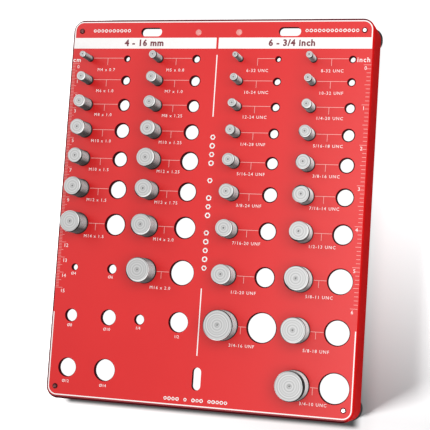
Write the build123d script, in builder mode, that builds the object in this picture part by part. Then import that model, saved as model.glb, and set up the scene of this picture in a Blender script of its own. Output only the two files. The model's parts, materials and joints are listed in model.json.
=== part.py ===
"""Thread checker: a pressed steel panel with threaded studs and matching holes.

The panel lies on its back on four rubber feet, with its studs pointing up.
Millimetres. +X is the panel's right, +Y its top and +Z out of its face.
The origin is under the middle of the panel, on the surface that it lies on.
"""
import os

from build123d import *

os.makedirs("parts", exist_ok=True)

inch = 25.4

# Panel: one sheet, pressed into a shallow box that is open at the back
box_depth = 25.0
sheet_thickness = 2.0
corner_radius = 8.0
fold_round = 1.5
hole_chamfer = 0.35

# Columns, from the left edge to the right one
left_margin = 13.9
metric_a_spacing = 26.1
metric_column_pitch = 48.7
metric_b_spacing = 25.3
middle_spacing = 29.9
inch_spacing = 24.9
inch_column_pitch = 47.9
right_land = 3.575
quarter_inch_spacing = 21.4

# Rows, from the top edge to the bottom one
top_margin = 26.4
row_pitches = (14.6, 16.5, 17.1, 19.0, 20.1, 23.2, 29.0, 31.6, 34.0)
bottom_land = 10.975
largest_diameter = 0.75 * inch

# Studs
stud_height = 14.5
stud_shoulder = 0.2
stud_head_lip = 1.5
stud_head_thickness = 2.0
stud_fit_gap = 0.05
thread_depth_ratio = 0.61
centre_mark_ratio = 0.08

# Hanging slots, with the top pair and the bottom one a little right of centre
slot_length = 14.5
slot_width = 5.8
slot_offset_x = 0.6
top_slot_half_spacing = 46.75
top_slot_inset = 8.4
bottom_slot_inset = 19.6

# Rivets in the header strip
rivet_offset_x = 0.05
rivet_half_spacing = 13.7
rivet_inset = 8.8
rivet_radius = 1.2
rivet_head_radius = 2.0
rivet_head_height = 0.8
rivet_gap = 0.05

# Rubber feet at the back corners, each with a boss that sits inside the box
foot_height = 6.0
foot_top_radius = 7.7
foot_bottom_radius = 6.9
foot_chamfer = 0.6
foot_boss_radius = 3.0
foot_boss_height = 4.0
foot_boss_gap_x = 1.5
foot_boss_gap_y = 2.8

# Corner screws, from the front of the panel into the feet
screw_radius = 1.0
screw_head_radius = 1.7
screw_head_height = 0.7
screw_head_chamfer = 0.25
screw_recess_width = 0.4
screw_recess_length = 1.8
screw_recess_depth = 0.4
screw_gap = 0.1
screw_end_height = 2.0

metric_width = left_margin + metric_column_pitch + metric_b_spacing
inch_width = inch_column_pitch + inch_spacing + largest_diameter / 2 + right_land
panel_width = metric_width + middle_spacing + inch_width
panel_height = top_margin + sum(row_pitches) + largest_diameter / 2 + bottom_land
top_y = panel_height / 2
face_z = foot_height + box_depth
back_z = face_z - sheet_thickness

metric_a_stud_x = left_margin - panel_width / 2
metric_a_hole_x = metric_a_stud_x + metric_a_spacing
metric_b_stud_x = metric_a_stud_x + metric_column_pitch
metric_b_hole_x = metric_b_stud_x + metric_b_spacing
inch_a_stud_x = metric_b_hole_x + middle_spacing
inch_a_hole_x = inch_a_stud_x + inch_spacing
inch_b_stud_x = inch_a_stud_x + inch_column_pitch
inch_b_hole_x = inch_b_stud_x + inch_spacing
quarter_inch_x = metric_a_hole_x + quarter_inch_spacing
row_y = [top_y - top_margin]
for pitch in row_pitches:
    row_y.append(row_y[-1] - pitch)
small_plain_y, middle_plain_y, large_plain_y = row_y[-3:]

# Metric gauges from the top row down: diameter and pitch
metric_a = (
    (4, 0.7),
    (6, 1.0),
    (8, 1.0),
    (10, 1.0),
    (10, 1.5),
    (12, 1.5),
    (14, 1.5),
)
metric_b = (
    (5, 0.8),
    (7, 1.0),
    (8, 1.25),
    (10, 1.25),
    (12, 1.25),
    (12, 1.75),
    (14, 2.0),
    (16, 2.0),
)

# Inch gauges from the top row down: size, diameter in inches and threads in an inch
inch_a = (
    ("6", 0.138, 32),
    ("10", 0.190, 24),
    ("12", 0.216, 24),
    ("1_4", 1 / 4, 28),
    ("5_16", 5 / 16, 24),
    ("3_8", 3 / 8, 24),
    ("7_16", 7 / 16, 20),
    ("1_2", 1 / 2, 20),
    ("3_4", 3 / 4, 16),
)
inch_b = (
    ("8", 0.164, 32),
    ("10", 0.190, 32),
    ("1_4", 1 / 4, 20),
    ("5_16", 5 / 16, 18),
    ("3_8", 3 / 8, 16),
    ("7_16", 7 / 16, 14),
    ("1_2", 1 / 2, 13),
    ("5_8", 5 / 8, 11),
    ("5_8", 5 / 8, 18),
    ("3_4", 3 / 4, 10),
)

# Plain gauge holes: diameter and centre
plain_centres = (
    (4, (metric_a_stud_x, small_plain_y)),
    (6, (metric_a_hole_x, small_plain_y)),
    (8, (metric_a_stud_x, middle_plain_y)),
    (10, (metric_a_hole_x, middle_plain_y)),
    (inch / 4, (quarter_inch_x, middle_plain_y)),
    (inch / 2, (metric_b_hole_x, middle_plain_y)),
    (12, (metric_a_stud_x, large_plain_y)),
    (14, (metric_a_hole_x, large_plain_y)),
)


def metric_gauges(sizes, stud_x, hole_x):
    """Name, diameter, pitch and the two centres of each metric stud and hole."""
    gauges = []
    for (diameter, pitch), y in zip(sizes, row_y):
        name = f"m{diameter}x{pitch:g}".replace(".", "_")
        gauges.append((name, diameter, pitch, (stud_x, y), (hole_x, y)))
    return gauges


def inch_gauges(sizes, stud_x, hole_x):
    """Name, diameter, pitch and the two centres of each inch stud and hole."""
    gauges = []
    for (size, diameter, threads), y in zip(sizes, row_y):
        name = f"{size}_{threads}"
        pitch = inch / threads
        gauges.append((name, diameter * inch, pitch, (stud_x, y), (hole_x, y)))
    return gauges


gauges = (
    metric_gauges(metric_a, metric_a_stud_x, metric_a_hole_x)
    + metric_gauges(metric_b, metric_b_stud_x, metric_b_hole_x)
    + inch_gauges(inch_a, inch_a_stud_x, inch_a_hole_x)
    + inch_gauges(inch_b, inch_b_stud_x, inch_b_hole_x)
)

top_slot_y = top_y - top_slot_inset
bottom_slot_y = bottom_slot_inset - top_y
top_slot_left_x = slot_offset_x - top_slot_half_spacing
top_slot_right_x = slot_offset_x + top_slot_half_spacing
rivet_y = top_y - rivet_inset
rivet_centres = {
    "left": (rivet_offset_x - rivet_half_spacing, rivet_y),
    "right": (rivet_offset_x + rivet_half_spacing, rivet_y),
}
foot_x = panel_width / 2 - sheet_thickness - foot_boss_radius - foot_boss_gap_x
foot_y = panel_height / 2 - sheet_thickness - foot_boss_radius - foot_boss_gap_y
foot_centres = {
    "top_left": (-foot_x, foot_y),
    "top_right": (foot_x, foot_y),
    "bottom_left": (-foot_x, -foot_y),
    "bottom_right": (foot_x, -foot_y),
}
screw_hole_radius = screw_radius + screw_gap


def save(piece, name):
    """Label a finished piece and write it to its own file."""
    piece.part.label = name
    export_step(piece.part, f"parts/{name}.step")


# Panel box: the outer shape with rounded folds, then the hollow behind the face
with BuildPart() as panel:
    with BuildSketch(Plane.XY.offset(foot_height)):
        RectangleRounded(panel_width, panel_height, corner_radius)
    extrude(amount=box_depth)
    fillet(panel.faces().sort_by(Axis.Z)[-1].edges(), fold_round)
    with BuildSketch(Plane.XY.offset(foot_height)):
        RectangleRounded(
            panel_width - 2 * sheet_thickness,
            panel_height - 2 * sheet_thickness,
            corner_radius - sheet_thickness,
        )
    extrude(amount=box_depth - sheet_thickness, mode=Mode.SUBTRACT)

    # Holes that gauge a bolt, each with a small chamfer at the face
    with BuildSketch(Plane.XY.offset(face_z)):
        for name, diameter, pitch, stud_centre, hole_centre in gauges:
            with Locations(hole_centre):
                Circle(diameter / 2)
        for diameter, centre in plain_centres:
            with Locations(centre):
                Circle(diameter / 2)
    extrude(amount=-sheet_thickness, mode=Mode.SUBTRACT)
    face_edges = panel.edges().filter_by_position(Axis.Z, face_z, face_z)
    chamfer(face_edges.filter_by(lambda edge: edge.is_closed), hole_chamfer)

    # Holes that the studs, rivets and corner screws sit in
    with BuildSketch(Plane.XY.offset(face_z)):
        for name, diameter, pitch, stud_centre, hole_centre in gauges:
            with Locations(stud_centre):
                Circle(diameter / 2 + stud_shoulder + stud_fit_gap)
        with Locations(*rivet_centres.values()):
            Circle(rivet_radius + rivet_gap)
        with Locations(*foot_centres.values()):
            Circle(screw_hole_radius)
    extrude(amount=-sheet_thickness, mode=Mode.SUBTRACT)

    # Slots for hanging the panel on screws
    with BuildSketch(Plane.XY.offset(face_z)):
        with Locations((top_slot_left_x, top_slot_y), (top_slot_right_x, top_slot_y)):
            SlotOverall(slot_length, slot_width)
        with Locations((slot_offset_x, bottom_slot_y)):
            SlotOverall(slot_length, slot_width, rotation=90)
    extrude(amount=-sheet_thickness, mode=Mode.SUBTRACT)

save(panel, "panel")


# Studs: a head behind the panel, a shoulder in the sheet and the threaded shank
for name, diameter, pitch, stud_centre, hole_centre in gauges:
    radius = diameter / 2
    end_chamfer = thread_depth_ratio * pitch
    stud_top = face_z + stud_height
    stud_plane = Plane(origin=(*stud_centre, 0), x_dir=(1, 0, 0), z_dir=(0, -1, 0))
    with BuildPart() as stud:
        with BuildSketch(stud_plane):
            with BuildLine():
                Polyline(
                    (0, back_z - stud_head_thickness),
                    (radius + stud_head_lip, back_z - stud_head_thickness),
                    (radius + stud_head_lip, back_z),
                    (radius + stud_shoulder, back_z),
                    (radius + stud_shoulder, face_z),
                    (radius, face_z),
                    (radius, stud_top - end_chamfer),
                    (radius - end_chamfer, stud_top),
                    (centre_mark_ratio * diameter, stud_top),
                    (0, stud_top - centre_mark_ratio * diameter),
                    close=True,
                )
            make_face()
        revolve(axis=Axis((*stud_centre, 0), (0, 0, 1)))
    save(stud, f"stud_{name}")


# Header rivets: a low domed head on the face and a flat tail behind it
for side, centre in rivet_centres.items():
    rivet_plane = Plane(origin=(*centre, 0), x_dir=(1, 0, 0), z_dir=(0, -1, 0))
    head_top = face_z + rivet_head_height
    with BuildPart() as rivet:
        with BuildSketch(rivet_plane):
            with BuildLine():
                Polyline(
                    (0, head_top),
                    (0, back_z - rivet_head_height),
                    (rivet_head_radius, back_z - rivet_head_height),
                    (rivet_head_radius, back_z),
                    (rivet_radius, back_z),
                    (rivet_radius, face_z),
                    (rivet_head_radius, face_z),
                )
                RadiusArc(
                    (rivet_head_radius, face_z),
                    (0, head_top),
                    -(rivet_head_radius**2 + rivet_head_height**2) / (2 * rivet_head_height),
                )
            make_face()
        revolve(axis=Axis((*centre, 0), (0, 0, 1)))
    save(rivet, f"header_rivet_{side}")


# Corner screws and the rubber feet that they hold
for corner, centre in foot_centres.items():
    turning_plane = Plane(origin=(*centre, 0), x_dir=(1, 0, 0), z_dir=(0, -1, 0))
    turning_axis = Axis((*centre, 0), (0, 0, 1))

    with BuildPart() as foot:
        with BuildSketch(turning_plane):
            with BuildLine():
                Polyline(
                    (0, 0),
                    (foot_bottom_radius, 0),
                    (foot_top_radius, foot_height),
                    (foot_boss_radius, foot_height),
                    (foot_boss_radius, foot_height + foot_boss_height),
                    (screw_hole_radius, foot_height + foot_boss_height),
                    (screw_hole_radius, screw_end_height - screw_gap),
                    (0, screw_end_height - screw_gap),
                    close=True,
                )
            make_face()
        revolve(axis=turning_axis)
        bottom_rim = foot.faces().sort_by(Axis.Z)[0].edges()
        chamfer(bottom_rim, foot_chamfer)
    save(foot, f"foot_{corner}")

    with BuildPart() as screw:
        with BuildSketch(Plane.XY.offset(screw_end_height)):
            with Locations(centre):
                Circle(screw_radius)
        extrude(amount=face_z - screw_end_height)
        with BuildSketch(Plane.XY.offset(face_z)):
            with Locations(centre):
                Circle(screw_head_radius)
        extrude(amount=screw_head_height)
        head_rim = screw.faces().sort_by(Axis.Z)[-1].edges()
        chamfer(head_rim, screw_head_chamfer)
        with BuildSketch(Plane.XY.offset(face_z + screw_head_height)):
            with Locations(centre):
                Rectangle(screw_recess_length, screw_recess_width)
                Rectangle(screw_recess_width, screw_recess_length)
        extrude(amount=-screw_recess_depth, mode=Mode.SUBTRACT)
    save(screw, f"corner_screw_{corner}")
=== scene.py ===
# %% [markdown]
# # A thread checker lying on a white table
#
# The object is a red steel panel, folded into a shallow box. Threaded studs for gauging nuts stand
# on it, and beside each stud is a hole of the same size for gauging bolts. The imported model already
# holds the panel, the feet and the small fasteners at their real size, so this lesson starts from
# it and adds what a plain solid lacks: screw threads, printed marks, finishes and light.
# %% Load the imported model
import json
import math

import bmesh
import bpy
from mathutils import Matrix, Vector


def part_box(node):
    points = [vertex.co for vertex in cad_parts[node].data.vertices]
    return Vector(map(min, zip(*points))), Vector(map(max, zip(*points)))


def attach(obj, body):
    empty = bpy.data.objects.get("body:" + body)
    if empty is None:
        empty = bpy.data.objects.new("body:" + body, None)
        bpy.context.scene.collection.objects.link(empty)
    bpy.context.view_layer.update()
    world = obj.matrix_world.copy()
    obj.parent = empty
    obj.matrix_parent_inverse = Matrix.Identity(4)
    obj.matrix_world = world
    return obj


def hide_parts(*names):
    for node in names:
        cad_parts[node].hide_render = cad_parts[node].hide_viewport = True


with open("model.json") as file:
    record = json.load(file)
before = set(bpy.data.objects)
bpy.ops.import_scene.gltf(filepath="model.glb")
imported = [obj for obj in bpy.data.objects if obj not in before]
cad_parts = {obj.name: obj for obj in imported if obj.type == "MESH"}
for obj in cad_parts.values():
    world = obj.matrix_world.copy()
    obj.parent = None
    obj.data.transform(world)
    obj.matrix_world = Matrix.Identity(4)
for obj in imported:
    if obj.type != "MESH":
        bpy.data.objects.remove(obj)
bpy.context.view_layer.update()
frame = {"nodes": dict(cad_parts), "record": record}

mm = 0.001
inch = 25.4 * mm
panel_low, panel_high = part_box("panel")
face_z = panel_high.z
print(len(frame["nodes"]), "nodes, face of the panel at", round(face_z / mm, 2), "mm")

# %% [markdown]
# ## Small helpers for node trees
#
# Materials and Geometry Nodes are both trees of nodes. One helper adds a node and feeds its inputs,
# with a plain value or with the output of another node, so that each tree below reads as a recipe.
# The others do the same for a single sum, for a ramp from one value to another, for the length of
# a slanting step, and for taking a vector apart and putting one together.
# %% Node helpers


def add_node(tree, kind, *inputs, **settings):
    """Add a node, set its properties, then feed its inputs in order with values or outputs."""
    node = tree.nodes.new(kind)
    for name, value in settings.items():
        setattr(node, name, value)
    for socket, value in zip(node.inputs, inputs):
        feed(tree, socket, value)
    return node


def feed(tree, socket, value):
    """Link an output to a socket, or write a plain value on it."""
    if isinstance(value, bpy.types.NodeSocket):
        tree.links.new(value, socket)
    elif value is not None:
        socket.default_value = value


def shown_socket(node, name):
    """The input that a node shows under a name, as some nodes keep hidden ones of the same name."""
    return next(socket for socket in node.inputs if socket.name == name and socket.enabled)


def calc(tree, operation, *values):
    """One sum in a node tree."""
    return add_node(tree, "ShaderNodeMath", *values, operation=operation).outputs[0]


def ramp(tree, value, start, end, low=0.0, high=1.0, **settings):
    """Go from low to high while a value goes from start to end, and stay level outside them."""
    node = add_node(tree, "ShaderNodeMapRange", value, start, end, low, high, **settings)
    return node.outputs["Result"]


def length_of(tree, aside, upright):
    """The length of a step that goes aside and upright by two values."""
    squares = [calc(tree, "MULTIPLY", way, way) for way in (aside, upright)]
    return calc(tree, "SQRT", calc(tree, "ADD", *squares))


def split(tree, vector):
    """The three outputs X, Y and Z of a vector."""
    return add_node(tree, "ShaderNodeSeparateXYZ", vector).outputs


def vector_of(tree, *axes):
    """A vector from up to three values."""
    return add_node(tree, "ShaderNodeCombineXYZ", *axes).outputs[0]


print("node helpers:", add_node.__name__, feed.__name__, calc.__name__, ramp.__name__)

# %% [markdown]
# ## Finishes
#
# Each finish is a Principled shader whose colour, roughness and bump come from noise on the Object
# coordinates. All objects here sit at the origin, so those coordinates are plain metres, and one
# scale means the same on every piece. Noise stays near its middle, so another helper spreads it
# between two values.
# %% Material helpers


def new_finish(name, roughness, metallic=0.0):
    """A new material with a Principled shader, and the Object coordinates to paint it by."""
    material = bpy.data.materials.new(name)
    material.use_nodes = True
    tree = material.node_tree
    shader = tree.nodes["Principled BSDF"]
    shader.inputs["Roughness"].default_value = roughness
    shader.inputs["Metallic"].default_value = metallic
    place = tree.nodes.new("ShaderNodeTexCoord").outputs["Object"]
    return material, tree, shader, place


def noise(tree, place, grain, detail=2.0):
    """Noise whose spots are about grain metres across."""
    node = add_node(tree, "ShaderNodeTexNoise", place)
    node.inputs["Scale"].default_value = 1 / grain
    node.inputs["Detail"].default_value = detail
    return node.outputs["Fac"]


def spread(tree, factor, low, high):
    """Turn the middle of a noise into a range of values."""
    return ramp(tree, factor, 0.3, 0.7, low, high)


def gray(level, blue=None):
    """A colour of one level, with its own blue if one is given."""
    return (level, level, level if blue is None else blue, 1)


def blend_colors(tree, factor, color_a, color_b):
    """Go from the first colour to the second as a factor goes from 0 to 1."""
    node = tree.nodes.new("ShaderNodeMix")
    node.data_type = "RGBA"
    feed(tree, node.inputs["Factor"], factor)
    for socket, color in ((node.inputs[6], color_a), (node.inputs[7], color_b)):
        feed(tree, socket, color)
    return node.outputs[2]


def add_bump(tree, shader, height, depth, strength=1.0):
    """Raise and lower the shading by a height from 0 to 1 that stands for depth metres."""
    node = add_node(tree, "ShaderNodeBump")
    node.inputs["Strength"].default_value = strength
    node.inputs["Distance"].default_value = depth
    feed(tree, node.inputs["Height"], height)
    feed(tree, shader.inputs["Normal"], node.outputs["Normal"])


print("material helpers:", new_finish.__name__, noise.__name__, spread.__name__, add_bump.__name__)

# %% [markdown]
# ### Red paint
#
# The panel is sprayed with a smooth, fairly glossy red. Sprayed paint is never quite flat: it has
# a fine ripple called orange peel, and its colour drifts a little from place to place.
#
# Object height tells the face from the sides: the change is complete a tenth of a millimetre under
# the face. The fold below it is painted dark as a dull line of painted shade, and the sides are a
# slightly darker red again under that, a little painted shade. The same painted shade darkens the
# walls of the openings just under the face. Only the fold on the right, which the camera sees into,
# stays red all the way.
# %% Colours of the face and the sides
red_paint, tree, shader, place = new_finish("red_paint", 0.4)
axes = split(tree, place)
drift = noise(tree, place, 45 * mm, 3.0)
face_color = blend_colors(tree, drift, (0.66, 0.009, 0.010, 1), (0.72, 0.014, 0.014, 1))
side_drift = noise(tree, place, 12 * mm, 2.0)
shaded_side_red = blend_colors(tree, side_drift, (0.56, 0.003, 0.004, 1), (0.66, 0.006, 0.006, 1))
# painted shade: the fold under the face and the walls of the openings are nearly black
fold_painted_shade = blend_colors(tree, side_drift, (0.045, 0.001, 0.004, 1), (0.075, 0.002, 0.006, 1))
at_right = ramp(tree, axes["X"], panel_high.x - 6 * mm, panel_high.x - 2 * mm)
under_fold = ramp(tree, axes["Z"], face_z - 1.8 * mm, face_z - 3.0 * mm)
below_face = ramp(tree, axes["Z"], face_z - 0.01 * mm, face_z - 0.10 * mm)
side_color = blend_colors(tree, calc(tree, "MAXIMUM", at_right, under_fold), fold_painted_shade, shaded_side_red)
print("colours of", red_paint.name, "take", len(tree.nodes), "nodes so far")

# %% [markdown]
# A narrow rim of the face, outside the white border, starts to turn into the fold and is painted
# darker too, as painted shade. The distance past a rectangle with rounded corners finds it: how far
# a place lies beyond the corner's centre, to the side and up or down, gives the length from that
# centre.
# %% Rim of the face, gloss and orange peel
bend_radius = 6.0 * mm
lower_rim = 0.7 * mm
rim_start, rim_end = bend_radius - 1.5 * mm, bend_radius - 0.9 * mm
corner_x = panel_high.x - bend_radius
corner_y = panel_high.y - lower_rim / 2 - bend_radius
aside = calc(tree, "SUBTRACT", calc(tree, "ABSOLUTE", axes["X"]), corner_x)
from_middle = calc(tree, "ABSOLUTE", calc(tree, "SUBTRACT", axes["Y"], lower_rim / 2))
upright = calc(tree, "SUBTRACT", from_middle, corner_y)
reach = length_of(tree, calc(tree, "MAXIMUM", aside, 0.0), calc(tree, "MAXIMUM", upright, 0.0))
# painted shade: the rim of the face outside the border turns dark red
rim_painted_shade = calc(tree, "MULTIPLY", ramp(tree, reach, rim_start, rim_end),
              calc(tree, "SUBTRACT", 1.0, at_right))
face_color = blend_colors(tree, rim_painted_shade, face_color, (0.20, 0.008, 0.012, 1))
feed(tree, shader.inputs["Base Color"], blend_colors(tree, below_face, face_color, side_color))

peel = noise(tree, place, 1.1 * mm, 1.0)
side_roughness = calc(tree, "MULTIPLY", below_face, 0.95)
feed(tree, shader.inputs["Roughness"],
     calc(tree, "MAXIMUM", spread(tree, peel, 0.33, 0.43), side_roughness))
feed(tree, shader.inputs["Specular IOR Level"],
     calc(tree, "SUBTRACT", 0.5, calc(tree, "MULTIPLY", below_face, 0.42)))
add_bump(tree, shader, peel, 0.006 * mm, 0.6)
print(red_paint.name, "has", len(tree.nodes), "nodes")

# %% [markdown]
# ### Walls of the openings
#
# The walls of the holes and slots are dull and painted nearly black, as painted shade, with a trace
# of the red as a painted red reflection.
# %% Walls of the openings
hole_wall, tree, shader, place = new_finish("hole_wall", 0.9)
wall_mottle = noise(tree, place, 1.5 * mm, 2.0)
# painted shade: the walls of the openings are nearly black, with a painted red reflection
feed(tree, shader.inputs["Base Color"],
     blend_colors(tree, wall_mottle, (0.020, 0.002, 0.003, 1), (0.060, 0.005, 0.007, 1)))
feed(tree, shader.inputs["Roughness"], spread(tree, wall_mottle, 0.8, 1.0))
shader.inputs["Specular IOR Level"].default_value = 0.15
add_bump(tree, shader, wall_mottle, 0.01 * mm, 0.5)
print(hole_wall.name, "has", len(tree.nodes), "nodes")

# %% [markdown]
# ### Ink
#
# The print is thick screen ink. Its white is a little warm, and it is thinner in places, where a
# touch of the red below shows. Hairlines come out thinner still, and so paler. The header bars
# carry figures in dark maroon ink.
# %% Inks


def new_ink(name, color, thin_color):
    """Matt ink of one colour that lets a little of another through in spots."""
    ink, tree, shader, place = new_finish(name, 0.55)
    thin = spread(tree, noise(tree, place, 1.6 * mm, 3.0), 0.0, 0.35)
    feed(tree, shader.inputs["Base Color"], blend_colors(tree, thin, color, thin_color))
    feed(tree, shader.inputs["Roughness"], spread(tree, noise(tree, place, 0.5 * mm), 0.48, 0.62))
    add_bump(tree, shader, noise(tree, place, 0.35 * mm), 0.004 * mm, 0.5)
    return ink


white_ink = new_ink("white_ink", (0.98, 0.96, 0.94, 1), (0.92, 0.85, 0.82, 1))
pale_ink = new_ink("pale_ink", (0.84, 0.46, 0.43, 1), (0.78, 0.28, 0.26, 1))
maroon_ink = new_ink("maroon_ink", (0.13, 0.012, 0.026, 1), (0.19, 0.030, 0.040, 1))
print("inks:", white_ink.name, pale_ink.name, maroon_ink.name)

# %% [markdown]
# ### Turned steel
#
# The studs are cut on a lathe, which leaves fine rings round their axis on the end faces. Each stud
# has another axis, so the mesh carries an attribute with every point's place measured from its own
# axis. The length of that, taken across the axis, is the radius that the rings follow: an even
# wave for the tool's feed, and a noise for the rest. The end faces are painted darker towards the
# left as painted shade, so the studs on the right look a little brighter.
# %% Rings on the end faces
stud_height = 14.5 * mm
end_z = face_z + stud_height
tool_feed = 1.5 * mm


def new_attribute(tree, name):
    """The node that reads a named attribute of the mesh."""
    node = tree.nodes.new("ShaderNodeAttribute")
    node.attribute_name = name
    return node


stud_steel, tree, shader, place = new_finish("turned_steel", 0.3, metallic=1.0)
axes = split(tree, place)
from_axis = split(tree, new_attribute(tree, "from_axis").outputs["Vector"])
across = vector_of(tree, from_axis["X"], from_axis["Y"])
radius = add_node(tree, "ShaderNodeVectorMath", across, operation="LENGTH").outputs["Value"]
rings = noise(tree, vector_of(tree, radius), 0.5 * mm, 2.0)
turning = calc(tree, "COSINE", calc(tree, "MULTIPLY", radius, 2 * math.pi / tool_feed))
# painted shade: the end faces darken towards the left of the panel
leftness = ramp(tree, axes["X"], 80 * mm, -60 * mm, 0.0, 0.7)
ring_tone = calc(tree, "MULTIPLY_ADD", turning, -0.22, spread(tree, rings, 0.1, 0.9))
ring_tone = calc(tree, "SUBTRACT", ring_tone, calc(tree, "MULTIPLY", leftness, 0.4))
end_color = blend_colors(tree, ring_tone, gray(0.36), gray(0.70, 0.695))
print("ring waves", round(tool_feed / mm, 2), "mm apart")

# %% [markdown]
# The shanks have a painted highlight in a band on their right and painted shade below it, as round
# bars show in a white room. The cosine of the turn from a direction, made from the same attribute,
# brings that in. The painted band is narrow on the studs at the left, and wider and brighter on
# those at the right. The side of each shank that faces up and to the left is a plain mid grey.
# %% Light and dark round the shanks


def facing(degrees, start, end):
    """Rise from 0 to 1 as the side of a stud turns to a direction, from one cosine to another."""
    along_x = calc(tree, "MULTIPLY", from_axis["X"], math.cos(math.radians(degrees)))
    along_y = calc(tree, "MULTIPLY", from_axis["Y"], math.sin(math.radians(degrees)))
    cosine = calc(tree, "DIVIDE", calc(tree, "ADD", along_x, along_y), radius)
    return ramp(tree, cosine, start, end)


# painted highlight and painted shade round the shanks
highlight_mottle = noise(tree, place, 4 * mm, 2.0)
rightness = ramp(tree, axes["X"], -60 * mm, 50 * mm)
narrow_band = calc(tree, "MULTIPLY", facing(8, 0.70, 0.99), calc(tree, "SUBTRACT", 1.0, rightness))
wide_band = calc(tree, "MULTIPLY", facing(25, 0.35, 0.95), rightness)
strength = calc(tree, "MULTIPLY", calc(tree, "MULTIPLY_ADD", rightness, 0.25, 1.0),
                spread(tree, highlight_mottle, 0.70, 0.90))
painted_highlight = calc(tree, "MULTIPLY", calc(tree, "ADD", narrow_band, wide_band), strength)
painted_dark_side = blend_colors(tree, rightness, gray(0.12), gray(0.27))
unlit_color = blend_colors(tree, facing(155, 0.1, 0.6), painted_dark_side, gray(0.50, 0.495))
shank_painted_light_color = blend_colors(tree, painted_highlight, unlit_color, gray(1.0, 0.995))
print("rings and shanks of", stud_steel.name, "take", len(tree.nodes), "nodes so far")

# %% [markdown]
# A second attribute, groove, runs from 0 on a thread's crest to 1 in its root. The flanks and the
# root are painted dark as painted shade, so the steel is bright on the crest only. Painted shade
# also darkens the foot of each stud, and a dark line of painted shade runs round it just under the
# end. The chamfer round the end has a painted highlight, and the mark that the lathe's centre left
# in the middle is painted dark, as painted shade in its hollow.
# %% Painted shade, chamfer highlight and centre mark
rim_height = 0.5 * mm
mark_radius = 1.5 * mm
groove = new_attribute(tree, "groove").outputs["Fac"]
# painted shade in the thread's grooves, at the foot and under the end
groove_painted_shade = ramp(tree, groove, 0.04, 0.34)
foot_painted_shade = ramp(tree, from_axis["Z"], face_z + 2.6 * mm, face_z + 1.2 * mm)
half_line = ramp(tree, axes["X"], -90 * mm, 65 * mm, 0.4 * mm, 1.3 * mm)
below_rim = calc(tree, "SUBTRACT", end_z - rim_height, from_axis["Z"])
off_line = calc(tree, "ABSOLUTE", calc(tree, "SUBTRACT", below_rim, half_line))
end_line_painted_shade = ramp(tree, calc(tree, "DIVIDE", off_line, half_line), 1.15, 0.65)
shade = calc(tree, "MAXIMUM", groove_painted_shade, calc(tree, "MAXIMUM", foot_painted_shade, end_line_painted_shade))
thread_color = blend_colors(tree, shade, shank_painted_light_color, (0.035, 0.033, 0.033, 1))

is_end = calc(tree, "MAXIMUM", calc(tree, "GREATER_THAN", from_axis["Z"], end_z - rim_height),
              calc(tree, "LESS_THAN", radius, mark_radius))
is_chamfer = calc(tree, "MULTIPLY", calc(tree, "LESS_THAN", from_axis["Z"], end_z - 0.05 * mm),
                  calc(tree, "GREATER_THAN", radius, mark_radius))
# painted highlight on the chamfer, and painted shade in the centre mark
chamfer_painted_highlight = calc(tree, "MULTIPLY", facing(-35, -0.2, 0.5), is_chamfer)
mark_painted_shade = ramp(tree, radius, 0.9 * mm, 0.5 * mm, 0.0, 0.8)
end_color = blend_colors(tree, mark_painted_shade, end_color, gray(0.16))
end_color = blend_colors(tree, chamfer_painted_highlight, end_color, gray(0.88, 0.875))
feed(tree, shader.inputs["Base Color"], blend_colors(tree, is_end, thread_color, end_color))
feed(tree, shader.inputs["Roughness"], spread(tree, rings, 0.42, 0.58))
add_bump(tree, shader, rings, 0.012 * mm, 0.7)
print(stud_steel.name, "has", len(tree.nodes), "nodes")

# %% [markdown]
# ### Plated steel
#
# The corner screws are small and shiny. The heads on the right are bright steel; those on the left
# are painted dark with pinkish glints, a painted reflection, and every head has a dark rim of
# painted shade.
# %% Corner screws
plated_steel, tree, shader, place = new_finish("plated_steel", 0.2, metallic=1.0)
axes = split(tree, place)
wear_and_glints = noise(tree, place, 0.9 * mm, 3.0)
bright = blend_colors(tree, wear_and_glints, (0.62, 0.61, 0.61, 1), (0.95, 0.94, 0.93, 1))
# painted reflection: the heads on the left are dark with pinkish glints
painted_dark_reflection = blend_colors(tree, spread(tree, wear_and_glints, 0.0, 1.0), (0.03, 0.006, 0.008, 1),
                         (0.30, 0.12, 0.12, 1))
is_right = calc(tree, "GREATER_THAN", axes["X"], 0.0)
top_color = blend_colors(tree, is_right, painted_dark_reflection, bright)
screw_low, screw_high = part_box("corner_screw_top_right")
screw_centre = (screw_low + screw_high) / 2
screw_rim_radius = 1.15 * mm
off_centre = [calc(tree, "SUBTRACT", calc(tree, "ABSOLUTE", axes[axis]), centre)
              for axis, centre in (("X", screw_centre.x), ("Y", screw_centre.y))]
screw_rim_painted_shade = calc(tree, "GREATER_THAN", length_of(tree, *off_centre), screw_rim_radius)
feed(tree, shader.inputs["Base Color"],
     blend_colors(tree, screw_rim_painted_shade, top_color, (0.03, 0.008, 0.010, 1)))
feed(tree, shader.inputs["Roughness"], spread(tree, wear_and_glints, 0.16, 0.34))
add_bump(tree, shader, noise(tree, place, 0.2 * mm), 0.003 * mm, 0.5)
print(plated_steel.name, "has", len(tree.nodes), "nodes")

# %% [markdown]
# ### Pink rivets and rubber
#
# The two rivets in the header are pale pink with patches of deeper red, and the feet are matt black
# rubber.
# %% Rivets and feet
rivet_pink, tree, shader, place = new_finish("pink_rivet", 0.35)
pink_mottle = noise(tree, place, 1.4 * mm, 3.0)
feed(tree, shader.inputs["Base Color"],
     blend_colors(tree, pink_mottle, (0.74, 0.20, 0.18, 1), (0.88, 0.46, 0.42, 1)))
feed(tree, shader.inputs["Roughness"], spread(tree, pink_mottle, 0.28, 0.45))
add_bump(tree, shader, pink_mottle, 0.01 * mm, 0.5)

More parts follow.
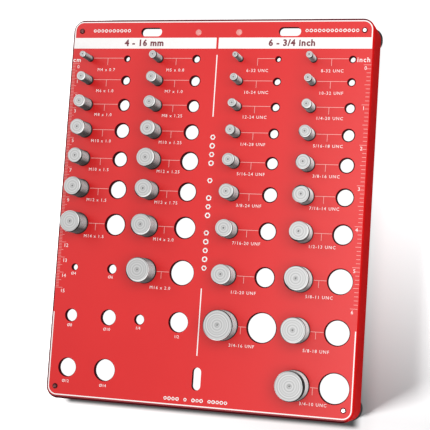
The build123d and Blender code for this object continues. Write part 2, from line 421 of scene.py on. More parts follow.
rubber, tree, shader, place = new_finish("black_rubber", 0.7)
skin = noise(tree, place, 0.4 * mm, 3.0)
dust = noise(tree, place, 3 * mm)
feed(tree, shader.inputs["Base Color"],
     blend_colors(tree, dust, gray(0.010), (0.022, 0.021, 0.021, 1)))
feed(tree, shader.inputs["Roughness"], spread(tree, skin, 0.6, 0.8))
add_bump(tree, shader, skin, 0.02 * mm, 0.6)
print("rivets and feet:", rivet_pink.name, rubber.name)

# %% [markdown]
# ## Dress the solids that stay
#
# The panel, feet, screws and rivets already have the right shape, so they only get their finish.
# %% Assign finishes
finish_by_start = {
    "panel": red_paint,
    "foot_": rubber,
    "corner_screw_": plated_steel,
    "header_rivet_": rivet_pink,
}
for name, solid in frame["nodes"].items():
    for start, finish in finish_by_start.items():
        if name.startswith(start):
            for slot in solid.material_slots:
                slot.material = finish
            print(name, "->", finish.name)

# %% [markdown]
# ## The gauges
#
# Where each stud and hole is, and how wide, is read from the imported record, so that nothing here is
# typed twice. The pitch of a thread, which is the distance from one crest to the next, is in the
# name of its node: in millimetres on the metric side, and as threads in an inch on the other.
# %% Read the gauges
fine_threads = {"10_32", "1_4_28", "5_16_24", "3_8_24", "7_16_20", "1_2_20", "3_4_16", "5_8_18"}
mounts = {mount["name"]: mount for mount in frame["record"]["mounts"]}


def pitch_and_label(size):
    """Pitch of a thread in metres and its printed size, from the size in its node's name."""
    if size.startswith("m"):
        diameter, pitch = size[1:].split("x")
        pitch = float(pitch.replace("_", "."))
        return pitch * mm, f"M{diameter} x {pitch}"
    *width, threads = size.split("_")
    series = "UNF" if size in fine_threads else "UNC"
    return inch / int(threads), f"{'/'.join(width)}-{threads} {series}"


gauges = []
for name, mount in mounts.items():
    if name.startswith("thread_"):
        size = name.removeprefix("thread_")
        pitch, label = pitch_and_label(size)
        stud = Vector(mount["pos_m"])
        hole = Vector(mounts["hole_" + size]["pos_m"])
        gauges.append((size, label, mount["dims"]["r_mm"] * mm, pitch, stud, hole))
row_heights = sorted({round(gauge[4].y, 5) for gauge in gauges}, reverse=True)
print(len(gauges), "gauges in", len(row_heights), "rows, from", gauges[0][1], "to", gauges[-1][1])

# %% [markdown]
# ## A screw thread in Geometry Nodes
#
# A thread is a ridge that climbs round a cylinder, one pitch in each turn. It could be a profile
# swept along a spiral, but its ends would stay open. Here a flat grid is wrapped instead: its
# columns go round the axis and its rows climb with the helix, so that the crest and the root of the
# thread each lie on a row of the grid. After one turn the grid meets itself a pitch higher. The
# rows are held between the thread's two ends, and Merge by Distance closes the seams.
#
# Three helpers come first: they open a tree, end it, and choose between two values in it.
# %% Tree helpers


def new_geometry_tree(name, inputs):
    """A Geometry Nodes tree with named inputs. Returns it, its sockets and their identifiers."""
    tree = bpy.data.node_groups.new(name, "GeometryNodeTree")
    identifiers = {}
    for title, kind in inputs:
        item = tree.interface.new_socket(name=title, in_out="INPUT", socket_type=kind)
        identifiers[title] = item.identifier
    tree.interface.new_socket(name="Geometry", in_out="OUTPUT", socket_type="NodeSocketGeometry")
    group_input = tree.nodes.new("NodeGroupInput")
    return tree, group_input.outputs, identifiers


def finish_geometry(tree, geometry, finish):
    """End a tree with Realize Instances, Merge by Distance and Set Material."""
    realized = add_node(tree, "GeometryNodeRealizeInstances", geometry).outputs[0]
    merged = add_node(tree, "GeometryNodeMergeByDistance", realized)
    merged.inputs["Distance"].default_value = 0.001 * mm
    painted = add_node(tree, "GeometryNodeSetMaterial", merged.outputs[0])
    feed(tree, painted.inputs["Material"], finish)
    add_node(tree, "NodeGroupOutput", painted.outputs[0])


def choose(tree, condition, if_true, if_false):
    """One of two values, by a condition that is 0 or 1."""
    node = add_node(tree, "ShaderNodeMix", condition)
    feed(tree, node.inputs[2], if_false)
    feed(tree, node.inputs[3], if_true)
    return node.outputs[0]


print("tree helpers:", new_geometry_tree.__name__, finish_geometry.__name__, choose.__name__)

# %% [markdown]
# ### The grid and its climb
#
# A turn of the thread takes four rows: two edges of the crest and two of the root. The first and
# the last row of the grid are kept apart, to close the thread against the solids at its ends. The
# grid numbers its points column by column, so a point's index gives its column and its row, and
# those give its height on the helix.
# %% Thread grid
crest_width = 1 / 8
flank_width = 3 / 8
rows_in_turn = 4.0
extra_rows = 3.0
thread_inputs = (
    ("Geometry", "NodeSocketGeometry"),
    ("Centre", "NodeSocketVector"),
    ("Radius", "NodeSocketFloat"),
    ("Depth", "NodeSocketFloat"),
    ("Pitch", "NodeSocketFloat"),
    ("Bottom", "NodeSocketFloat"),
    ("Top", "NodeSocketFloat"),
    ("Bottom Radius", "NodeSocketFloat"),
    ("Top Radius", "NodeSocketFloat"),
    ("End Radius", "NodeSocketFloat"),
    ("Segments", "NodeSocketInt"),
    ("Finish", "NodeSocketMaterial"),
)
tree, given, thread_sockets = new_geometry_tree("screw_thread", thread_inputs)
length = calc(tree, "SUBTRACT", given["Top"], given["Bottom"])
turns = calc(tree, "ADD", calc(tree, "CEIL", calc(tree, "DIVIDE", length, given["Pitch"])), 1.0)
row_count = calc(tree, "ADD", calc(tree, "MULTIPLY", turns, rows_in_turn), extra_rows)
columns = calc(tree, "ADD", given["Segments"], 1.0)
grid = add_node(tree, "GeometryNodeMeshGrid", 1.0, 1.0, columns, row_count).outputs["Mesh"]

index = tree.nodes.new("GeometryNodeInputIndex").outputs[0]
half_index = calc(tree, "ADD", index, 0.5)
column = calc(tree, "FLOOR", calc(tree, "DIVIDE", half_index, row_count))
row = calc(tree, "SUBTRACT", index, calc(tree, "MULTIPLY", column, row_count))
turn = calc(tree, "DIVIDE", column, given["Segments"])
step = calc(tree, "SUBTRACT", row, 1.0)
half_turns = calc(tree, "MULTIPLY", calc(tree, "FLOOR", calc(tree, "MULTIPLY", step, 0.5)), 0.5)
rest = calc(tree, "MULTIPLY", calc(tree, "FLOORED_MODULO", step, 2.0), crest_width)
climb = calc(tree, "SUBTRACT", calc(tree, "ADD", calc(tree, "ADD", half_turns, rest), turn), 1.0)
raw_height = calc(tree, "MULTIPLY_ADD", climb, given["Pitch"], given["Bottom"])
height = calc(tree, "MINIMUM", calc(tree, "MAXIMUM", raw_height, given["Bottom"]), given["Top"])
print("thread grid: 4 rows in a turn, crest", crest_width, "of a pitch")

# %% [markdown]
# ### Crest, flanks and root
#
# The distance from the middle of the crest, counted in pitches, is a ping-pong of the height less
# the turn. It gives the radius: full on the crest, less one depth in the root. The first and the
# last row take the radius of the thread's ends instead. Cosine and sine of the turn then wrap the
# grid round the axis.
# %% Thread shape
above = calc(tree, "DIVIDE", calc(tree, "SUBTRACT", height, given["Bottom"]), given["Pitch"])
off_crest = calc(tree, "SUBTRACT", calc(tree, "SUBTRACT", above, turn), crest_width / 2)
from_crest = calc(tree, "PINGPONG", off_crest, 0.5)
cut = ramp(tree, from_crest, crest_width / 2, crest_width / 2 + flank_width, 0.0, given["Depth"])
cone = calc(tree, "ADD", given["End Radius"], calc(tree, "SUBTRACT", given["Top"], height))
thread_radius = calc(tree, "MINIMUM", calc(tree, "SUBTRACT", given["Radius"], cut), cone)

is_first = calc(tree, "LESS_THAN", row, 0.5)
is_last = calc(tree, "GREATER_THAN", row, calc(tree, "SUBTRACT", row_count, 1.5))
ring_radius = choose(tree, is_first, given["Bottom Radius"],
                     choose(tree, is_last, given["Top Radius"], thread_radius))
ring_height = choose(tree, is_last, given["Top"], height)
angle = calc(tree, "MULTIPLY", turn, 2 * math.pi)
ring = vector_of(tree, calc(tree, "MULTIPLY", calc(tree, "COSINE", angle), ring_radius),
                 calc(tree, "MULTIPLY", calc(tree, "SINE", angle), ring_radius), ring_height)
ring_place = add_node(tree, "ShaderNodeVectorMath", ring, given["Centre"], operation="ADD")
print("thread shape: crest, flanks and root in", len(tree.nodes), "nodes")

# %% [markdown]
# ### Attributes for the steel
#
# The tree leaves two attributes on its mesh, which the turned steel reads: groove, from 0 on the
# crest to 1 in the root, and from_axis, every point's place measured from its own axis.
# %% Attributes and the end of the tree
grooved = add_node(tree, "GeometryNodeStoreNamedAttribute", grid, data_type="FLOAT", domain="POINT")
grooved.inputs["Name"].default_value = "groove"
feed(tree, shown_socket(grooved, "Value"), calc(tree, "DIVIDE", cut, given["Depth"]))
wrapped = add_node(tree, "GeometryNodeSetPosition", grooved.outputs[0])
feed(tree, wrapped.inputs["Position"], ring_place.outputs[0])
joined = tree.nodes.new("GeometryNodeJoinGeometry")
for piece in (given["Geometry"], wrapped.outputs[0]):
    tree.links.new(piece, joined.inputs[0])
measured = add_node(tree, "GeometryNodeStoreNamedAttribute", joined.outputs[0],
                    data_type="FLOAT_VECTOR", domain="POINT")
measured.inputs["Name"].default_value = "from_axis"
position = tree.nodes.new("GeometryNodeInputPosition").outputs[0]
offset = add_node(tree, "ShaderNodeVectorMath", position, given["Centre"], operation="SUBTRACT")
feed(tree, shown_socket(measured, "Value"), offset.outputs[0])
finish_geometry(tree, measured.outputs[0], given["Finish"])
thread_tree = tree
print(thread_tree.name, "has", len(tree.nodes), "nodes")

# %% [markdown]
# ## Making a piece from a tree
#
# A small lathe function makes the plain turned parts that the thread is joined to.
# %% Lathe and mesh helpers


def lathe(mesh_builder, profile, segments, centre):
    """Turn a profile of (radius, height) points round an upright axis through centre."""
    rings = []
    for radius, height in profile:
        count = segments if radius > 0 else 1
        rings.append([
            mesh_builder.verts.new((
                centre.x + radius * math.cos(2 * math.pi * k / segments),
                centre.y + radius * math.sin(2 * math.pi * k / segments),
                height,
            ))
            for k in range(count)
        ])
    for lower, upper in zip(rings, rings[1:]):
        for k in range(segments):
            after = (k + 1) % segments
            corners = [lower[k % len(lower)], lower[after % len(lower)],
                       upper[after % len(upper)], upper[k % len(upper)]]
            mesh_builder.faces.new(list(dict.fromkeys(corners)))


def mesh_from(mesh_builder, name):
    """Write a bmesh to a new mesh and free it."""
    mesh = bpy.data.meshes.new(name)
    mesh_builder.to_mesh(mesh)
    mesh_builder.free()
    return mesh


def place_object(name, mesh):
    """Put a mesh in the scene as an object at the origin."""
    piece = bpy.data.objects.new(name, mesh)
    bpy.context.scene.collection.objects.link(piece)
    return piece


print("mesh helpers:", lathe.__name__, mesh_from.__name__, place_object.__name__)

# %% [markdown]
# A modifier that runs a tree is set by the identifiers of its inputs. The evaluated result is
# copied to a plain mesh and the modifier goes, because the piece has to be a mesh in its own right.
# Each finished piece then rides on the panel.
# %% Piece helpers
sharp_edge = math.radians(28)


def grow(piece, tree, identifiers, values):
    """Run a Geometry Nodes tree on a piece and keep the result as its plain mesh."""
    modifier = piece.modifiers.new("grow", "NODES")
    modifier.node_group = tree
    for title, value in values.items():
        modifier[identifiers[title]] = value
    depsgraph = bpy.context.evaluated_depsgraph_get()
    grown = bpy.data.meshes.new_from_object(piece.evaluated_get(depsgraph), depsgraph=depsgraph)
    piece.modifiers.clear()
    piece.data = grown
    piece.data.name = piece.name


def tidy_mesh(mesh, sharp_angle=None):
    """Point all faces outwards and shade the mesh smooth between its sharp edges."""
    builder = bmesh.new()
    builder.from_mesh(mesh)
    bmesh.ops.dissolve_degenerate(builder, dist=0.0005 * mm, edges=builder.edges)
    bmesh.ops.recalc_face_normals(builder, faces=builder.faces)
    open_edges = sum(1 for edge in builder.edges if len(edge.link_faces) != 2)
    builder.to_mesh(mesh)
    builder.free()
    if sharp_angle:
        mesh.shade_smooth()
        mesh.set_sharp_from_angle(angle=sharp_angle)
    return open_edges


def carry(piece, slot, *solids):
    """Let a finished piece move with the panel, and let it stand for solids; its slot is not used."""
    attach(piece, "root")
    if solids:
        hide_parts(*solids)


print("piece helpers:", grow.__name__, tidy_mesh.__name__, carry.__name__)

# %% [markdown]
# ## The studs
#
# Each stud has a flat head behind the sheet, a shoulder in the sheet, and the thread above it. The
# head and the end face with its centre mark are turned, and the thread tree joins them. A cone at
# 45 degrees cuts the last crest, as the chamfer on a real stud does.
# %% Make the studs
thread_depth_ratio = 0.61
centre_mark_ratio = 0.06
end_chamfer_ratio = 0.35
flat_end_ratio = 0.80
shoulder_step = 0.2 * mm
head_edge = 0.3 * mm
sheet_back = face_z - 2 * mm


def sides_of(radius):
    """How many sides a turned piece gets: an even number that grows with its radius."""
    return 2 * round(13 + 1.6 * radius / mm)


triangles = 0
for size, label, radius, pitch, stud, hole in gauges:
    low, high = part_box("stud_" + size)
    centre = Vector((stud.x, stud.y, 0.0))
    segments = sides_of(radius)
    depth = thread_depth_ratio * pitch
    end_radius = radius - end_chamfer_ratio * depth
    flat_radius = flat_end_ratio * end_radius
    shoulder_radius = radius + shoulder_step
    mark = centre_mark_ratio * 2 * radius
    mark_edge, mark_depth = 0.15 * mark, 0.5 * mark
    head_radius = (high.x - low.x) / 2
    builder = bmesh.new()
    lathe(builder, ((0, low.z), (head_radius - head_edge, low.z), (head_radius, low.z + head_edge),
                    (head_radius, sheet_back), (shoulder_radius, sheet_back),
                    (shoulder_radius, face_z)), segments, centre)
    lathe(builder, ((flat_radius, high.z), (mark + mark_edge, high.z),
                    (mark, high.z - mark_edge), (0, high.z - mark_depth)), segments, centre)
    piece = place_object("threaded_stud_" + size, mesh_from(builder, size))
    grow(piece, thread_tree, thread_sockets, {
        "Centre": centre, "Radius": radius, "Depth": depth, "Pitch": pitch, "Bottom": face_z,
        "Top": high.z, "Bottom Radius": shoulder_radius, "Top Radius": flat_radius,
        "End Radius": end_radius, "Segments": segments, "Finish": stud_steel,
    })
    open_edges = tidy_mesh(piece.data, sharp_edge)
    carry(piece, "stud_steel", "stud_" + size)
    triangles += sum(len(face.vertices) - 2 for face in piece.data.polygons)
    if open_edges:
        print(size, "has", open_edges, "open edges")
print(len(gauges), "studs,", triangles, "triangles")

# %% [markdown]
# ## The threads in the holes
#
# The hole beside each stud has the same thread cut in its wall. The solid's bore is plain, so each
# hole gets a thin threaded sleeve, sunk a hair into the bore's wall. It comes from the same tree,
# closed on the outside by a turned ring. Its ridges are kept low, because the whole of the bore
# looks open from the front.
# %% Thread the holes
sleeve_wall = 0.03 * mm
hole_chamfer = 0.35 * mm
sleeve_length = 2.8 * mm
large_radius = 7.5 * mm
crest_in_small, crest_in_large = 0.42 * mm, 0.28 * mm
threads_builder = bmesh.new()
for size, label, radius, pitch, stud, hole in gauges:
    centre = Vector((hole.x, hole.y, 0.0))
    segments = sides_of(radius)
    outer_radius = radius + sleeve_wall
    bottom = face_z - sleeve_length
    top = face_z - hole_chamfer
    crest_height = crest_in_small if radius < large_radius else crest_in_large
    builder = bmesh.new()
    lathe(builder, ((outer_radius, bottom), (outer_radius, top)), segments, centre)
    piece = place_object("sleeve_" + size, mesh_from(builder, size))
    grow(piece, thread_tree, thread_sockets, {
        "Centre": centre, "Radius": radius, "Depth": crest_height, "Pitch": pitch,
        "Bottom": bottom, "Top": top, "Bottom Radius": outer_radius, "Top Radius": outer_radius,
        "End Radius": 2 * radius, "Segments": segments, "Finish": hole_wall,
    })
    threads_builder.from_mesh(piece.data)
    bpy.data.objects.remove(piece)
hole_threads = place_object("hole_threads", mesh_from(threads_builder, "hole_threads"))
hole_threads.data.materials.append(hole_wall)
open_edges = tidy_mesh(hole_threads.data, sharp_edge)
carry(hole_threads, "panel_red")
print("hole threads:", len(hole_threads.data.polygons), "faces,", open_edges, "open edges")

# %% [markdown]
# ### Linings
#
# The photograph shows dark walls in the plain holes and the slots that look deeper than the sheet
# is thick. A short lining behind each of them carries the wall on.
# %% Line the plain holes and the slots
lining_thickness = 0.6 * mm
lining_overlap = 0.02 * mm
lining_top = face_z - 1.9 * mm
lining_bottom = lining_top - 1.6 * mm
slot_length = 14.5 * mm
slot_radius = 2.9 * mm


def opening_outline(centre, radius, half_x, half_y, steps=48):
    """Points around an opening: a round hole, or a slot whose ends lie half_x or half_y away."""
    angles = [2 * math.pi * (k + 0.5) / steps for k in range(steps)]
    return [(centre.x + math.copysign(half_x, math.cos(a)) + radius * math.cos(a),
             centre.y + math.copysign(half_y, math.sin(a)) + radius * math.sin(a)) for a in angles]


def lining(builder, centre, radius, half_x=0.0, half_y=0.0):
    """A closed tube behind the sheet that carries the wall of an opening on."""
    inner = opening_outline(centre, radius - lining_overlap, half_x, half_y)
    outer = opening_outline(centre, radius + lining_thickness, half_x, half_y)
    corners = ((inner, lining_top), (outer, lining_top),
               (outer, lining_bottom), (inner, lining_bottom))
    rings = [[builder.verts.new((x, y, z)) for x, y in outline] for outline, z in corners]
    for k, ring in enumerate(rings):
        after = rings[(k + 1) % 4]
        for n in range(len(ring)):
            m = (n + 1) % len(ring)
            builder.faces.new((ring[n], ring[m], after[m], after[n]))


builder = bmesh.new()
for name, mount in mounts.items():
    if name.startswith("plain_"):
        lining(builder, Vector(mount["pos_m"]), mount["dims"]["r_mm"] * mm)
slot_half = slot_length / 2 - slot_radius
for slot_x in (-46.15 * mm, 47.35 * mm):
    lining(builder, Vector((slot_x, 117.6 * mm, 0.0)), slot_radius, half_x=slot_half)
lining(builder, Vector((0.6 * mm, -106.4 * mm, 0.0)), slot_radius, half_y=slot_half)
# The linings are painted shade: dark pieces that stand in for the shade deeper in the openings.
linings = place_object("opening_linings", mesh_from(builder, "opening_linings"))
linings.data.materials.append(hole_wall)
open_edges = tidy_mesh(linings.data, sharp_edge)
carry(linings, "panel_red")
print("linings:", len(linings.data.polygons), "faces,", open_edges, "open edges")

# %% [markdown]
# ## Screen print
#
# Ink lies on the paint as a film a few hundredths of a millimetre thick. It could be painted by the
# panel's material, but lettering has no simple formula, so each mark is a thin slab, sunk a little
# into the face so that no two surfaces coincide. Places are given as on a drawing of the panel:
# to the right from its left edge, and down from its top edge.
# %% Print helpers
ink_thickness = 0.04 * mm
ink_sunk = 0.01 * mm
ink_bottom = face_z - ink_sunk
ink_top = ink_bottom + ink_thickness


def on_panel(right, down):
    """A place on the face, in millimetres from its left and top edges."""
    return Vector((panel_low.x + right * mm, panel_high.y - down * mm, ink_bottom))


def slab(builder, outline):
    """A thin plate of ink from a closed outline of places on the face."""
    bottom = [builder.verts.new((point.x, point.y, ink_bottom)) for point in outline]
    top = [builder.verts.new((point.x, point.y, ink_top)) for point in outline]
    builder.faces.new(list(reversed(bottom)))
    builder.faces.new(top)
    for k, (a, b) in enumerate(zip(bottom, top)):
        after = (k + 1) % len(bottom)
        builder.faces.new((a, bottom[after], top[after], b))


def bar(builder, left, right, top, bottom):
    """A straight bar of ink between two columns and two rows of the drawing."""
    slab(builder, [on_panel(left, bottom), on_panel(right, bottom),
                   on_panel(right, top), on_panel(left, top)])


print("ink", round(ink_thickness / mm, 3), "mm thick, in the shape of a", slab.__name__,
      "or a", bar.__name__)

# %% [markdown]
# Lettering is set as a text curve, turned into a mesh and moved to its place. A finished piece of
# print holds many marks, merged into one mesh with one ink.
# %% Type, and finished print


def letter(builder, text, size, right, down, weight=0.0, spacing=1.25):
    """Set a line of type with its middle at a place on the face. Sizes are in millimetres."""
    curve = bpy.data.curves.new("type", "FONT")
    curve.body = text
    curve.size = size * mm
    curve.align_x = "CENTER"
    curve.space_character = spacing
    curve.align_y = "CENTER"
    curve.resolution_u = 2
    curve.offset = weight * mm
    curve.extrude = ink_thickness / 2
    line = bpy.data.objects.new("type", curve)
    bpy.context.scene.collection.objects.link(line)
    depsgraph = bpy.context.evaluated_depsgraph_get()
    mesh = bpy.data.meshes.new_from_object(line.evaluated_get(depsgraph))
    place = on_panel(right, down) + Vector((0, 0, ink_thickness / 2))
    mesh.transform(Matrix.Translation(place))
    builder.from_mesh(mesh)
    bpy.data.objects.remove(line)
    bpy.data.meshes.remove(mesh)


def print_piece(name, builder, ink):
    """Finish a piece of print: merge its doubles, give it its ink and let it ride on the panel."""
    bmesh.ops.remove_doubles(builder, verts=builder.verts, dist=0.0002 * mm)
    bmesh.ops.recalc_face_normals(builder, faces=builder.faces)
    piece = place_object(name, mesh_from(builder, name))
    piece.data.materials.clear()
    piece.data.materials.append(ink)
    for face in piece.data.polygons:
        face.material_index = 0
    carry(piece, "panel_red")
    print(name, "has", len(piece.data.polygons), "faces")


print("type and print:", letter.__name__, print_piece.__name__)

# %% [markdown]
# ### Sizes, connectors and plain holes
#
# Each stud is joined to its hole by a hairline with a short tick under it, and its size stands
# below the tick. Two lists say, row by row, how far below the studs' axes the sizes and the lines
# stand: rows of larger studs have their sizes lower, to stay clear of them. The line of the
# smallest stud starts at the tick, and one long size moves a little to the right.
# %% Print the sizes
tick_columns = (26.35, 74.15, 129.2, 177.3)
tick_length = 4.7
hairline = 0.3
line_gap = 0.5
size_drops = (7.5, 7.15, 6.7, 7.2, 7.3, 7.45, 8.25, 10.45, 12.2, 10.7)
connector_drops = (-0.4, -0.45, -0.45, -0.4, -0.3, -0.3, -0.3, -0.05, 0.2, 0.4)
label_columns = (25.6, 73.9, 129.3, 178.0)
label_shifts = {"3_4_16": 1.1}
size_type = 2.8
smallest = "6_32"

sizes = bmesh.new()
lines = bmesh.new()
for size, label, radius, pitch, stud, hole in gauges:
    stud_right = (stud.x - panel_low.x) / mm
    hole_right = (hole.x - panel_low.x) / mm
    down = (panel_high.y - stud.y) / mm
    tick = min(tick_columns, key=lambda column: abs(column - (stud_right + hole_right) / 2))
    line_left = stud_right + radius / mm + line_gap
    line_right = hole_right - radius / mm - line_gap
    if size == smallest:
        line_left = tick - hairline / 2
    row = row_heights.index(round(stud.y, 5))
    line_top = down + connector_drops[row] - hairline / 2
    bar(lines, line_left, line_right, line_top, line_top + hairline)
    bar(lines, tick - hairline / 2, tick + hairline / 2,
        line_top + hairline, line_top + tick_length)
    label_right = label_columns[tick_columns.index(tick)] + label_shifts.get(size, 0.0)
    letter(sizes, label, size_type, label_right, down + size_drops[row])
print(len(gauges), "sizes set under their ticks")

# %% [markdown]
# The plain holes carry a diameter or a fraction of an inch. It stands lower under a larger hole.
# %% Print the sizes of the plain holes
plain_type = 2.7
plain_shift = 0.5
drop_ratio, least_drop = 1.17, 1.9
plain_labels = {"4": "Ø4", "6": "Ø6", "8": "Ø8", "10": "Ø10", "12": "Ø12",
                "14": "Ø14", "1_4": "1/4", "1_2": "1/2"}
for size, label in plain_labels.items():
    mount = mounts["plain_" + size]
    hole_right = (mount["pos_m"][0] - panel_low.x) / mm
    down = (panel_high.y - mount["pos_m"][1]) / mm
    label_drop = drop_ratio * mount["dims"]["r_mm"] + least_drop
    letter(sizes, label, plain_type, hole_right - plain_shift, down + label_drop, spacing=1.0)
print_piece("size_print", sizes, white_ink)
print_piece("connector_print", lines, pale_ink)

# %% [markdown]
# ### Header bars, border and centre lines
#
# Two white bars head the metric and the inch half, with the range of sizes in each. The border is a
# ribbon that follows the panel's outline with rounded corners, and leaves room for the rulers.
# %% Arc and ribbon


def arc(right, down, radius, start, end, steps=8):
    """Points on an arc of the drawing, with angles in degrees, counted clockwise from the right."""
    angles = [math.radians(start + (end - start) * k / steps) for k in range(steps + 1)]
    return [(right + radius * math.cos(a), down + radius * math.sin(a)) for a in angles]


def ribbon(builder, path, width):
    """A line of ink of even width along a path of (right, down) points."""
    left_side, right_side = [], []
    for k, point in enumerate(path):
        before = Vector(path[max(k - 1, 0)])
        after = Vector(path[min(k + 1, len(path) - 1)])
        along = (after - before).normalized()
        across = Vector((-along.y, along.x)) * width / 2
        left_side.append(on_panel(*(Vector(point) + across)))
        right_side.append(on_panel(*(Vector(point) - across)))
    for k in range(len(path) - 1):
        slab(builder, [left_side[k], left_side[k + 1], right_side[k + 1], right_side[k]])


print("border helpers:", arc.__name__, ribbon.__name__)

# %% [markdown]
# The border comes in two parts, above the rulers and below them. A line between the two halves of
# the panel runs down from the header, and another one up from the lower slot.
# %% Print the bars and the border
border_width = 0.7
border_inset = 1.7
corner = 5.6
lower_lift = 0.8
header_top, header_bottom = 12.3, 19.5
left_bar_end, right_bar_start = 100.8, 102.3
line_left, line_right = 101.45, 102.15
centre_spans = ((23.7, 64.2), (175.1, 217.8))
ruler_end = 195.8
panel_width = (panel_high.x - panel_low.x) / mm
panel_height = (panel_high.y - panel_low.y) / mm
inner_left, inner_right = border_inset, panel_width - border_inset
inner_top, inner_bottom = border_inset, panel_height - border_inset - lower_lift
upper_path = (
    [(inner_left, header_top)]
    + arc(inner_left + corner, inner_top + corner, corner, 180, 270)
    + arc(inner_right - corner, inner_top + corner, corner, 270, 360)
    + [(inner_right, header_top)]
)
lower_path = (
    [(inner_right, ruler_end)]
    + arc(inner_right - corner, inner_bottom - corner, corner, 0, 90)
    + arc(inner_left + corner, inner_bottom - corner, corner, 90, 180)
    + [(inner_left, ruler_end)]
)
frame_print = bmesh.new()
ribbon(frame_print, upper_path, border_width)
ribbon(frame_print, lower_path, border_width)
bar(frame_print, border_inset - border_width / 2, left_bar_end, header_top, header_bottom)
bar(frame_print, right_bar_start, panel_width - border_inset + border_width / 2,
    header_top, header_bottom)
for line_top, line_bottom in centre_spans:
    bar(frame_print, line_left, line_right, line_top, line_bottom)
print_piece("border_print", frame_print, white_ink)

# %% [markdown]
# ### Ranges on the header bars
#
# Each white bar in the header names the range of sizes below it, in dark type that lies a little
# above the white ink.
# %% Print the ranges on the header bars
header_type = bmesh.new()
header_ink_lift = 0.02 * mm
header_size, header_weight, header_spacing = 5.8, 0.24, 1.12
header_middle = (header_top + header_bottom) / 2
for text, right in (("4 - 16 mm", 51.1), ("6 - 3/4 inch", 150.9)):
    letter(header_type, text, header_size, right, header_middle, header_weight, header_spacing)
bmesh.ops.translate(header_type, verts=header_type.verts, vec=(0, 0, header_ink_lift))
print_piece("header_print", header_type, maroon_ink)

# %% [markdown]
# ### Rulers
#
# A ruler is one short bar, repeated. A Geometry Nodes tree puts points down the edge and a bar on
# each, and the index of the point gives its length: every fifth one is longer, every tenth longest.
# %% Ruler tree
ruler_inputs = (
    ("Geometry", "NodeSocketGeometry"),
    ("Start", "NodeSocketVector"),
    ("Count", "NodeSocketInt"),
    ("Spacing", "NodeSocketFloat"),
    ("Short", "NodeSocketFloat"),
    ("Middle", "NodeSocketFloat"),
    ("Long", "NodeSocketFloat"),
    ("Middle Every", "NodeSocketFloat"),
    ("Side", "NodeSocketFloat"),
    ("Width", "NodeSocketFloat"),
    ("Thickness", "NodeSocketFloat"),
    ("Finish", "NodeSocketMaterial"),
)
tree, given, ruler_sockets = new_geometry_tree("ruler_ticks", ruler_inputs)
down_step = vector_of(tree, 0.0, calc(tree, "MULTIPLY", given["Spacing"], -1.0))
points = add_node(tree, "GeometryNodeMeshLine", given["Count"])
feed(tree, points.inputs["Start Location"], given["Start"])
feed(tree, points.inputs["Offset"], down_step)
index = tree.nodes.new("GeometryNodeInputIndex").outputs[0]


def is_every(tree, index, count):
    """1 where the index is a multiple of count, else 0."""
    rest = calc(tree, "FLOORED_MODULO", calc(tree, "ADD", index, 0.5), count)
    return calc(tree, "LESS_THAN", rest, 1.0)


long_every = calc(tree, "MULTIPLY", given["Middle Every"], 2.0)
tick_reach = choose(tree, is_every(tree, index, long_every), given["Long"],
                    choose(tree, is_every(tree, index, given["Middle Every"]), given["Middle"],
                           given["Short"]))
tick_block = add_node(tree, "GeometryNodeMeshCube", (1.0, 1.0, 1.0)).outputs["Mesh"]
moved = add_node(tree, "GeometryNodeTransform", tick_block)
half_side = calc(tree, "MULTIPLY", given["Side"], 0.5)
feed(tree, moved.inputs["Translation"], vector_of(tree, half_side, 0.0, 0.5))
ticks = add_node(tree, "GeometryNodeInstanceOnPoints", points.outputs[0])
feed(tree, ticks.inputs["Instance"], moved.outputs[0])
feed(tree, ticks.inputs["Scale"], vector_of(tree, tick_reach, given["Width"], given["Thickness"]))
finish_geometry(tree, ticks.outputs[0], given["Finish"])
ruler_tree = tree
print(ruler_tree.name, "has", len(tree.nodes), "nodes")

# %% [markdown]
# ### Both rulers
#
# The left ruler has a tick in each millimetre and the right one in each tenth of an inch. Both
# start at the same height. Their numbers stand a little below the long ticks.
# %% Print the rulers
ruler_zero = 29.8
ruler_edge = 1.35
left_lengths, right_lengths = (2.1, 3.5, 4.9), (2.5, 3.4, 4.6)
rightwards, leftwards = 1.0, -1.0


def print_ruler(name, start, count, spacing, lengths, side, width):
    """Grow the ticks of one ruler from its zero."""
    piece = place_object(name, bpy.data.meshes.new(name))
    short, middle, long = lengths
    grow(piece, ruler_tree, ruler_sockets, {
        "Start": start, "Count": count, "Spacing": spacing, "Short": short * mm,
        "Middle": middle * mm, "Long": long * mm, "Middle Every": 5.0, "Side": side,
        "Width": width * mm, "Thickness": ink_thickness, "Finish": pale_ink,
    })
    tidy_mesh(piece.data)
    carry(piece, "panel_red")
    print(name, "has", len(piece.data.polygons) // 6, "ticks")


print_ruler("centimetre_ticks", on_panel(ruler_edge, ruler_zero), 151, 1 * mm,
            left_lengths, rightwards, 0.22)
print_ruler("inch_ticks", on_panel(panel_width - ruler_edge, ruler_zero), 61, inch / 10,
            right_lengths, leftwards, 0.26)

# %% [markdown]
# The numbers and the two units are set in white. A number of two digits stands further right, so
# that it keeps clear of its tick.
# %% Print the numbers
ruler_type = bmesh.new()
digit_type = 3.3
digit_drop = 2.2
one_digit, two_digits, inch_digit = 5.5, 6.5, 199.1
letter(ruler_type, "cm", 4.2, 4.2, 27.4, 0.08)
letter(ruler_type, "inch", 4.3, 197.6, 26.7, 0.05, 1.2)
for number in range(16):
    letter(ruler_type, str(number), digit_type, one_digit if number < 10 else two_digits,
           ruler_zero + 10 * number + digit_drop, spacing=1.0)
for number in range(7):
    letter(ruler_type, str(number), digit_type, inch_digit,
           ruler_zero + 25.4 * number + digit_drop)
print_piece("ruler_print", ruler_type, white_ink)

